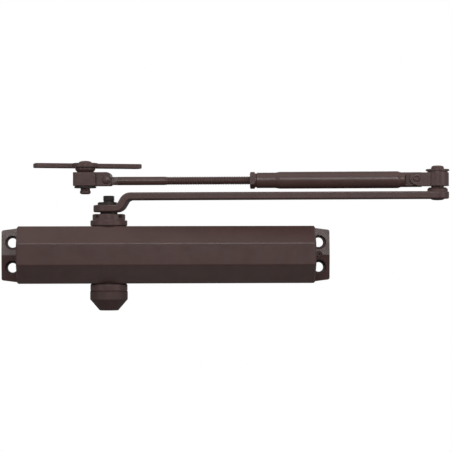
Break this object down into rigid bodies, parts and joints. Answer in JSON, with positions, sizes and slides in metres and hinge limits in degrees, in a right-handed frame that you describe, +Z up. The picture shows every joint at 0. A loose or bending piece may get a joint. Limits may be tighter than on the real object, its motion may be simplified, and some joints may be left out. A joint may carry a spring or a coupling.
{
  "type": "door closer",
  "caption": "Surface-mounted hydraulic door closer: rack-and-pinion body with eared screw holes, cranked main arm and adjustable folding forearm with a swivel shoe.",
  "frame": {"origin": "centre of the four body screw holes, on the back face that lies against the door or frame", "axes": "+Y out of the back face into the door, +X along the body to the end with the springs, +Z up along the pinion towards the arm"},
  "size_m": [0.3385, 0.0574, 0.1134],
  "materials": {
    "cast_body": "satin dark bronze paint on a casting",
    "arm_metal": "satin dark bronze paint on steel",
    "rod_metal": "satin dark bronze paint on a threaded steel rod",
    "dark_fastener": "dark oxide steel, slightly oily",
    "plug_metal": "satin dark bronze on turned steel",
    "bright_steel": "ground steel",
    "spring_steel": "oil-tempered spring wire",
    "bearing_bronze": "sintered bronze",
    "seal_rubber": "matte black nitrile rubber",
    "cap_plastic": "moulded satin plastic in the body's colour"
  },
  "bodies": {
    "body": {"closer_body": "cast_body", "left_end_plug": "plug_metal", "right_end_plug": "plug_metal", "left_end_seal": "seal_rubber", "right_end_seal": "seal_rubber", "passage_plugs": "bright_steel", "top_pinion_nut": "arm_metal", "bottom_pinion_nut": "arm_metal", "top_bearing": "bearing_bronze", "bottom_bearing": "bearing_bronze", "top_pinion_seal": "seal_rubber", "bottom_pinion_seal": "seal_rubber", "top_nut_gasket": "seal_rubber", "bottom_nut_gasket": "seal_rubber", "pinion_cap": "cap_plastic", "outer_spring": "spring_steel", "inner_spring": "spring_steel", "spring_seat": "bright_steel"},
    "piston": {"piston": "bright_steel", "piston_seal": "seal_rubber", "check_valve_retainer": "bearing_bronze"},
    "check_ball": {"check_ball": "bright_steel"},
    "sweep_valve": {"sweep_valve": "plug_metal", "sweep_valve_seal": "seal_rubber"},
    "latch_valve": {"latch_valve": "plug_metal", "latch_valve_seal": "seal_rubber"},
    "arm": {"pinion_shaft": "dark_fastener", "main_arm": "arm_metal", "arm_washer": "dark_fastener", "arm_screw": "dark_fastener", "elbow_pin": "arm_metal", "elbow_clip": "arm_metal"},
    "elbow_knuckle": {"elbow_knuckle": "arm_metal", "elbow_tilt_pin": "arm_metal"},
    "forearm_tube": {"forearm_tube": "arm_metal"},
    "jam_nut": {"jam_nut": "arm_metal"},
    "forearm_rod": {"forearm_rod": "rod_metal"},
    "shoe_knuckle": {"shoe_knuckle": "arm_metal", "shoe_tilt_pin": "arm_metal"},
    "shoe": {"shoe_plate": "arm_metal", "shoe_pin": "arm_metal", "shoe_clip": "dark_fastener"}
  },
  "joints": [
    {"name": "pinion_turn", "type": "hinge", "parent": "body", "child": "arm", "pos_m": [-0.0434, -0.027, 0], "axis": [0, 0, 1], "range_deg": [-170, 0], "stiffness_Nm_per_rad": 8, "springref_deg": 51.57},
    {"name": "piston_slide", "type": "slide", "parent": "body", "child": "piston", "axis": [1, 0, 0], "range_m": [0, 0.0224], "deforming": ["outer_spring", "inner_spring"]},
    {"name": "check_ball_lift", "type": "slide", "parent": "piston", "child": "check_ball", "axis": [-1, 0, 0], "range_m": [0, 0.0011]},
    {"name": "sweep_valve_turn", "type": "hinge", "parent": "body", "child": "sweep_valve", "pos_m": [0.11775, -0.005, 0.0005], "axis": [0, -1, 0], "range_deg": [-180, 180]},
    {"name": "latch_valve_turn", "type": "hinge", "parent": "body", "child": "latch_valve", "pos_m": [0.1112, -0.01, 0.016], "axis": [1, 0, 0], "range_deg": [-180, 180]},
    {"name": "elbow_turn", "type": "hinge", "parent": "arm", "child": "elbow_knuckle", "pos_m": [0.20366, -0.04861, 0.056], "axis": [0, 0, 1], "continuous": true},
    {"name": "elbow_tilt", "type": "hinge", "parent": "elbow_knuckle", "child": "forearm_tube", "pos_m": [0.18792, -0.04724, 0.0571], "axis": [0.0872, 0.9962, 0], "range_deg": [0, 12]},
    {"name": "jam_nut_turn", "type": "hinge", "parent": "forearm_tube", "child": "jam_nut", "pos_m": [0.06489, -0.03647, 0.05595], "axis": [0.9962, -0.0872, 0], "continuous": true},
    {"name": "rod_adjust", "type": "slide", "parent": "forearm_tube", "child": "forearm_rod", "axis": [-0.9962, 0.0872, 0], "range_m": [-0.005, 0.025]},
    {"name": "shoe_tilt", "type": "hinge", "parent": "forearm_rod", "child": "shoe_knuckle", "pos_m": [-0.04455, -0.0269, 0.0565], "axis": [0.0872, 0.9962, 0], "range_deg": [-12, 12]},
    {"name": "shoe_turn", "type": "hinge", "parent": "shoe_knuckle", "child": "shoe", "pos_m": [-0.06123, -0.02544, 0.06], "axis": [0, 0, 1], "continuous": true}
  ],
  "couplings": [
    {"joint": "piston_slide", "follows": "pinion_turn", "m_per_rad": -0.0075}
  ]
}
